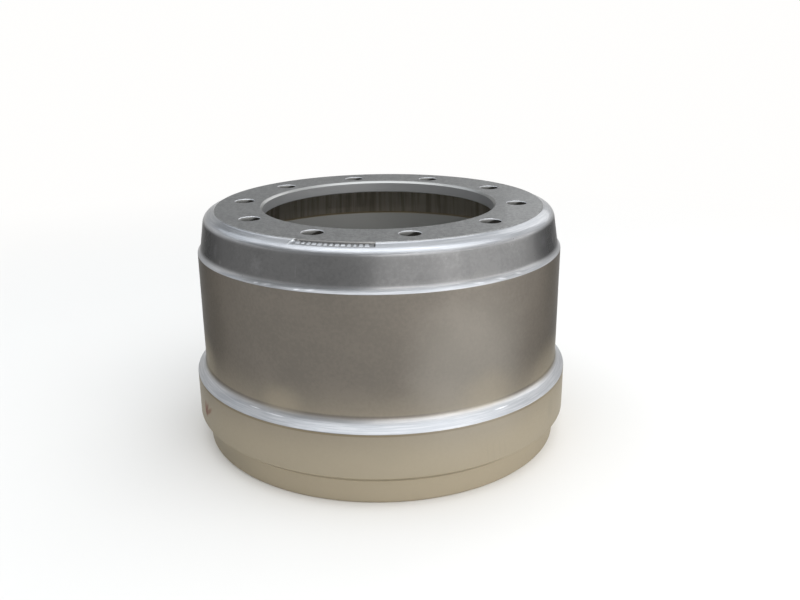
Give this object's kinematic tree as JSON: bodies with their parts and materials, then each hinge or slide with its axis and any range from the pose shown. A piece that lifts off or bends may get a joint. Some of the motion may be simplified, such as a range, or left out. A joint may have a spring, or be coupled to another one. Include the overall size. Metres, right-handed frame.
{
  "type": "brake drum",
  "caption": "Deep cast iron brake drum with a drilled mounting flange, central pilot bore, internal friction surface and reinforcing band at the open end.",
  "frame": {"origin": "centre of the open end's rim plane", "axes": "+Z along the drum's axis towards the mounting flange; the first stud hole is on +X, and the marking recess faces -Y"},
  "size_m": [0.4639, 0.464, 0.286],
  "materials": {
    "painted_casting": "silver paint with a satin gloss over grey cast iron; turned flange face, bores and rim under the same coat"
  },
  "bodies": {
    "root": {"brake_drum": "painted_casting"}
  },
  "joints": []
}
